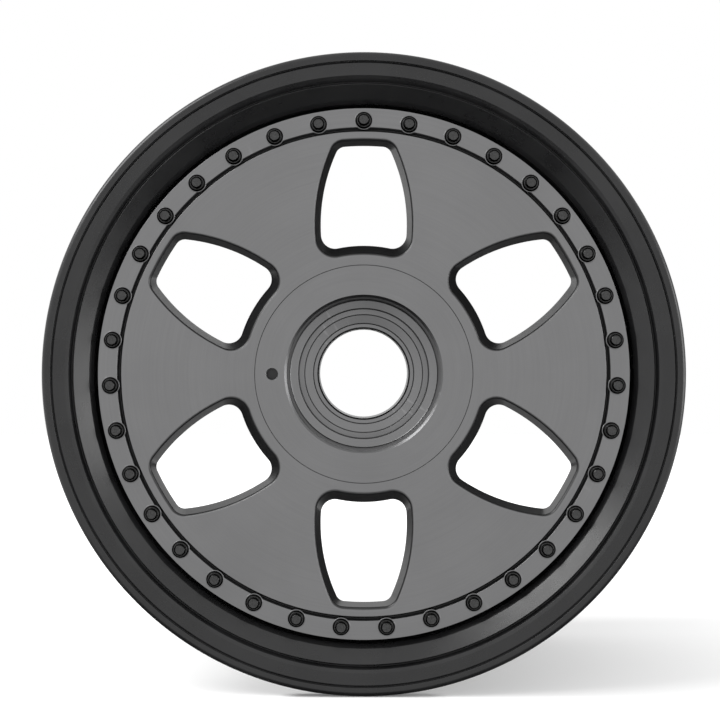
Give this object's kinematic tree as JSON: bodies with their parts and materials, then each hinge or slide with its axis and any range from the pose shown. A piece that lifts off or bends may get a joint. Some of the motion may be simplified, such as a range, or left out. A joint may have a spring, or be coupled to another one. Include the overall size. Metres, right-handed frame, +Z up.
{
  "type": "forged car wheel",
  "caption": "Two-piece forged car wheel with a brushed grey disc, six windows, a centre-lock hub and a black bolted rim.",
  "frame": {"origin": "on the wheel's axis, halfway between the outer faces of the two rim flanges", "axes": "+Y along the wheel's axis towards the car, -Y towards the street, +Z up through the top bolt, +X to the right as seen from the street"},
  "size_m": [0.522, 0.28, 0.522],
  "materials": {
    "disc_metal": "turned, brushed and clear-coated",
    "rim_black": "satin black",
    "bolt_black": "black oxide",
    "bush_steel": "ground",
    "valve_metal": "nickel plated",
    "seal_rubber": "matt",
    "core_brass": "turned",
    "cap_plastic": "matt"
  },
  "bodies": {
    "root": {"centre_disc": "disc_metal", "rim": "rim_black", "rim_bolts": "bolt_black", "drive_bushes": "bush_steel", "valve_stem": "valve_metal", "valve_seal": "seal_rubber", "valve_washer": "valve_metal", "valve_nut": "valve_metal", "valve_core": "core_brass", "valve_cap": "cap_plastic"}
  },
  "joints": []
}
